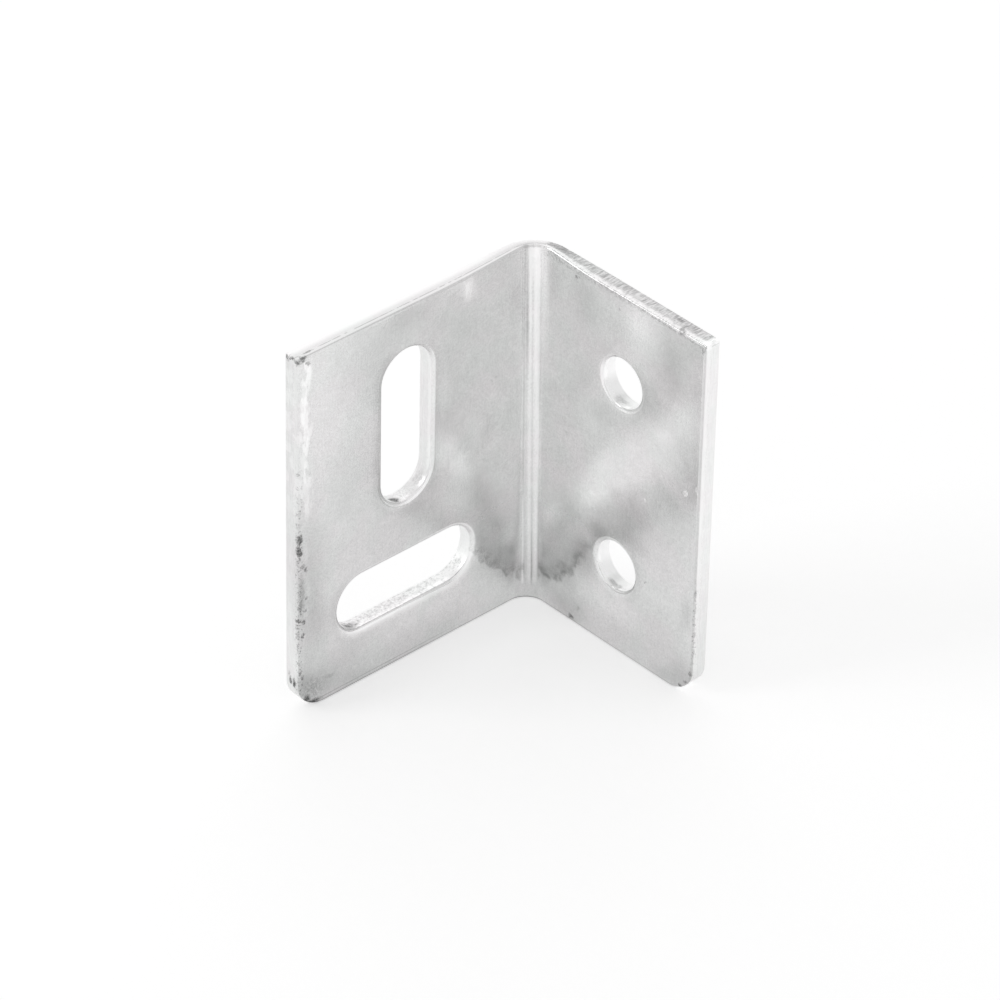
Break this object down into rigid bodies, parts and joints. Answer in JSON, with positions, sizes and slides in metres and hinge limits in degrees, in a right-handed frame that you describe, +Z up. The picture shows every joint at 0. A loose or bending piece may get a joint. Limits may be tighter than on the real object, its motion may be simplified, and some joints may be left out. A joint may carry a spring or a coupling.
{
  "type": "stretcher plate",
  "caption": "Folded steel angle plate that fixes a wooden top to its frame: round screw holes in one leg, crossed travel slots in the other.",
  "frame": {"origin": "middle of the rectangle that the plate stands in, on its lower edge", "axes": "+Z up the fold; the holed leg reaches towards +X with its back facing +Y; the slotted leg reaches towards -Y with its back facing -X"},
  "size_m": [0.0232, 0.0296, 0.038],
  "materials": {
    "zinc_plate": "bright zinc plate, satin"
  },
  "bodies": {
    "root": {"plate": "zinc_plate"}
  },
  "joints": []
}
